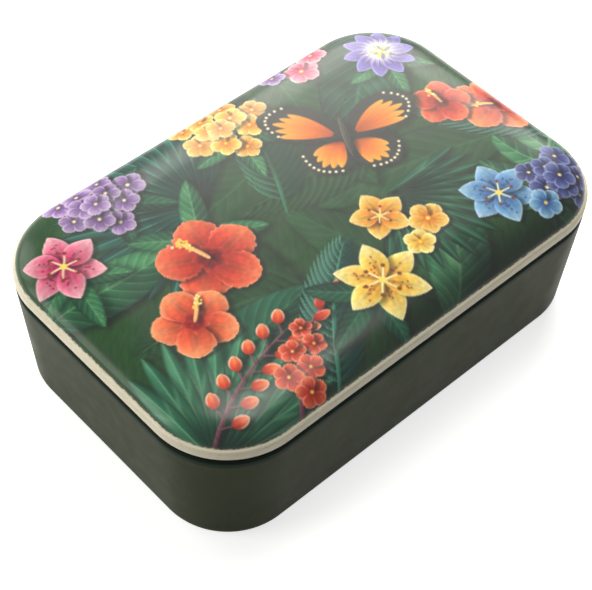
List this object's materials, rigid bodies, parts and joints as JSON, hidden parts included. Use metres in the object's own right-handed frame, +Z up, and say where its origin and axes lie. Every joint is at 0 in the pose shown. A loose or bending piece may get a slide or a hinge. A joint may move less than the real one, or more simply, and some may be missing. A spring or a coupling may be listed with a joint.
{
  "type": "lunch box",
  "caption": "Rounded rectangular lunch box: leaning-walled tub, lift-off domed lid with a printed crown and a silicone seal, and a sliding divider.",
  "frame": {"origin": "middle of the underside, on the surface that the foot ring rests on", "axes": "+X along the length, towards the small compartment; +Y across the width; +Z up"},
  "size_m": [0.195, 0.129, 0.0636],
  "materials": {
    "tub_green": "satin moulded bamboo composite, dark green",
    "lid_cream": "satin moulded bamboo composite, cream with fine fibre specks",
    "print_film": "satin printed film moulded into the surface, tropical leaves and flowers",
    "black_silicone": "matte silicone"
  },
  "bodies": {
    "tub": {"tub": "tub_green"},
    "lid": {"lid_shell": "lid_cream", "lid_print": "print_film", "lid_seal": "black_silicone"},
    "divider": {"divider_plate": "lid_cream", "divider_edging": "black_silicone"}
  },
  "joints": [
    {"name": "lid_lift", "type": "slide", "parent": "tub", "child": "lid", "axis": [0, 0, 1], "range_m": [0, 0.12]},
    {"name": "divider_slide", "type": "slide", "parent": "tub", "child": "divider", "axis": [1, 0, 0], "range_m": [-0.09, 0.03]}
  ]
}
